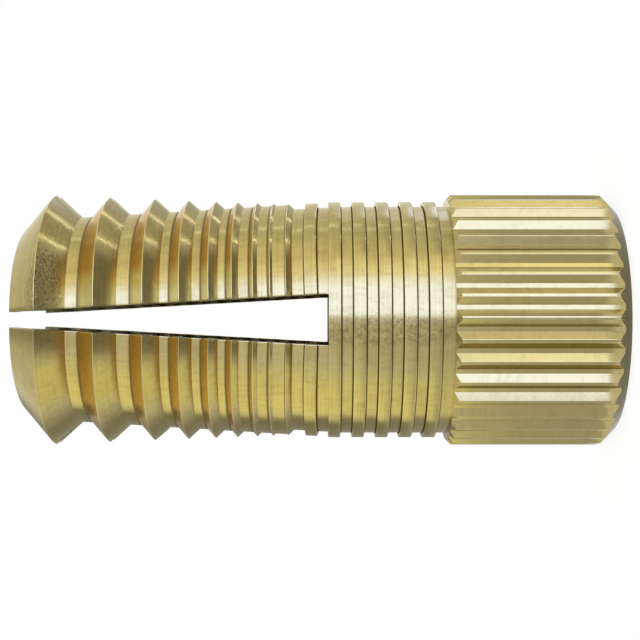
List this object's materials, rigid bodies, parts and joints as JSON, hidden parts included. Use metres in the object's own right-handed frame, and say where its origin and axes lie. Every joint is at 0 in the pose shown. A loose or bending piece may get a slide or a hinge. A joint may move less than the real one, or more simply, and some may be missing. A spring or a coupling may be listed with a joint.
{
  "type": "knurled expansion anchor",
  "caption": "Turned brass drop-in anchor with a knurled head, square rings, graded barbs and a cross-slotted, crimped tip that a machine screw spreads in a drilled hole.",
  "frame": {"origin": "on the axis, at the head's end face, where the screw goes in", "axes": "+Z along the axis from the head to the split tip; the two crossed slots lie along X and Y"},
  "size_m": [0.01, 0.01, 0.0233],
  "materials": {
    "brass": "fine-turned, bright satin, slightly stained"
  },
  "bodies": {
    "root": {"anchor": "brass"}
  },
  "joints": []
}
